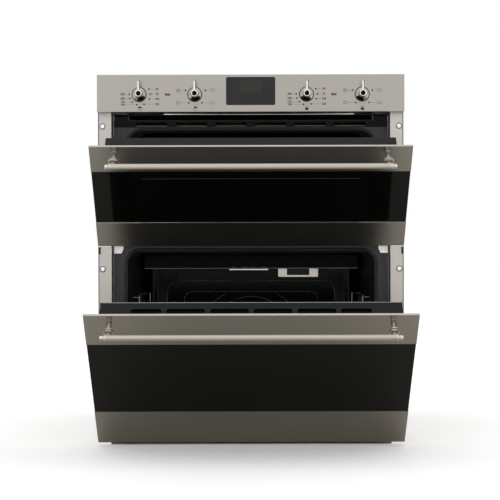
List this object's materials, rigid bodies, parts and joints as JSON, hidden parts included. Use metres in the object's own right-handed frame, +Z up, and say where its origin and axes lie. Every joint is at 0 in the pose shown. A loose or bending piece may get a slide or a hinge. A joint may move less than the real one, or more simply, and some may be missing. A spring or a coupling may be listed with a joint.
{
  "type": "wall oven",
  "caption": "Built-under double oven in brushed steel and black glass, two drop-down doors with bar handles, control panel with lever knobs and a display.",
  "frame": {"origin": "underside of the base, at the middle of the width, in the plane where the mounting flanges meet the cabinet front", "axes": "+X to the right seen from the front, +Y to the back, +Z up"},
  "size_m": [0.597, 0.8566, 0.72],
  "materials": {
    "galvanised": "satin",
    "black_enamel": "gloss",
    "white_plastic": "satin",
    "black_rubber": "matte",
    "mineral_wool": "matte",
    "element_sheath": "satin",
    "aluminised_steel": "satin",
    "fan_metal": "satin",
    "motor_metal": "satin",
    "chrome_wire": "polished",
    "lamp_glass": "gloss",
    "panel_steel": "satin",
    "display_glass": "gloss",
    "circuit_board": "satin",
    "lamp_lens": "gloss",
    "switch_plastic": "satin",
    "chrome_trim": "polished",
    "black_plastic": "satin",
    "spring_steel": "satin",
    "door_steel": "satin",
    "door_glass": "gloss",
    "door_body": "satin",
    "inner_glass": "gloss",
    "handle_steel": "satin"
  },
  "bodies": {
    "carcass": {"base_tray": "galvanised", "side_panels": "galvanised", "rear_panel": "galvanised", "top_cover": "galvanised", "partition_plate": "galvanised", "front_frame": "black_enamel", "mounting_flanges": "galvanised", "fixing_bushes": "white_plastic", "side_clips": "black_rubber", "upper_cavity": "black_enamel", "lower_cavity": "black_enamel", "upper_gasket": "black_rubber", "lower_gasket": "black_rubber", "insulation": "mineral_wool", "upper_grill_element": "element_sheath", "lower_grill_element": "element_sheath", "base_elements": "element_sheath", "ring_element": "element_sheath", "grill_reflector": "black_enamel", "fan_cover": "black_enamel", "fan_motor": "motor_metal", "side_racks": "chrome_wire", "lamp_frames": "aluminised_steel", "lamp_glasses": "lamp_glass", "vent_strip": "black_enamel", "air_duct": "galvanised", "blower_housing": "galvanised", "blower_motor": "motor_metal", "control_panel": "panel_steel", "display_window": "display_glass", "display_module": "circuit_board", "indicator_lamps": "lamp_lens", "selector_switches": "switch_plastic", "knob_bezels": "chrome_trim", "terminal_block": "switch_plastic", "cable_gland": "black_plastic", "hinge_bodies": "galvanised", "hinge_springs": "spring_steel"},
    "upper_door": {"upper_door_strips": "door_steel", "upper_door_glass": "door_glass", "upper_door_frame": "door_body", "upper_inner_glass": "inner_glass", "upper_door_trim": "door_body", "upper_handle_bar": "handle_steel", "upper_handle_posts": "chrome_trim", "upper_hinge_arms": "galvanised"},
    "lower_door": {"lower_door_strips": "door_steel", "lower_door_glass": "door_glass", "lower_door_frame": "door_body", "lower_inner_glass": "inner_glass", "lower_door_trim": "door_body", "lower_handle_bar": "handle_steel", "lower_handle_posts": "chrome_trim", "lower_hinge_arms": "galvanised"},
    "upper_temperature_knob": {"knob_1": "chrome_trim"},
    "upper_function_knob": {"knob_2": "chrome_trim"},
    "lower_temperature_knob": {"knob_3": "chrome_trim"},
    "lower_function_knob": {"knob_4": "chrome_trim"},
    "convection_fan": {"convection_fan": "fan_metal"},
    "cooling_fan": {"cooling_fan": "fan_metal"}
  },
  "joints": [
    {"name": "upper_door_hinge", "type": "hinge", "parent": "carcass", "child": "upper_door", "pos_m": [0, -0.004, 0.412], "axis": [1, 0, 0], "range_deg": [-43.3, 46.7]},
    {"name": "lower_door_hinge", "type": "hinge", "parent": "carcass", "child": "lower_door", "pos_m": [0, 0, 0.025], "axis": [1, 0, 0], "range_deg": [-46, 44]},
    {"name": "upper_temperature_knob_turn", "type": "hinge", "parent": "carcass", "child": "upper_temperature_knob", "pos_m": [-0.2165, -0.022, 0.6815], "axis": [0, 1, 0], "range_deg": [0, 280]},
    {"name": "upper_function_knob_turn", "type": "hinge", "parent": "carcass", "child": "upper_function_knob", "pos_m": [-0.1085, -0.022, 0.6815], "axis": [0, 1, 0], "range_deg": [0, 300]},
    {"name": "lower_temperature_knob_turn", "type": "hinge", "parent": "carcass", "child": "lower_temperature_knob", "pos_m": [0.1085, -0.022, 0.6815], "axis": [0, 1, 0], "range_deg": [0, 280]},
    {"name": "lower_function_knob_turn", "type": "hinge", "parent": "carcass", "child": "lower_function_knob", "pos_m": [0.2165, -0.022, 0.6815], "axis": [0, 1, 0], "range_deg": [0, 300]},
    {"name": "convection_fan_spin", "type": "hinge", "parent": "carcass", "child": "convection_fan", "pos_m": [0, 0.42, 0.18], "axis": [0, 1, 0], "continuous": true},
    {"name": "cooling_fan_spin", "type": "hinge", "parent": "carcass", "child": "cooling_fan", "pos_m": [0, 0.33, 0.668], "axis": [1, 0, 0], "continuous": true}
  ]
}
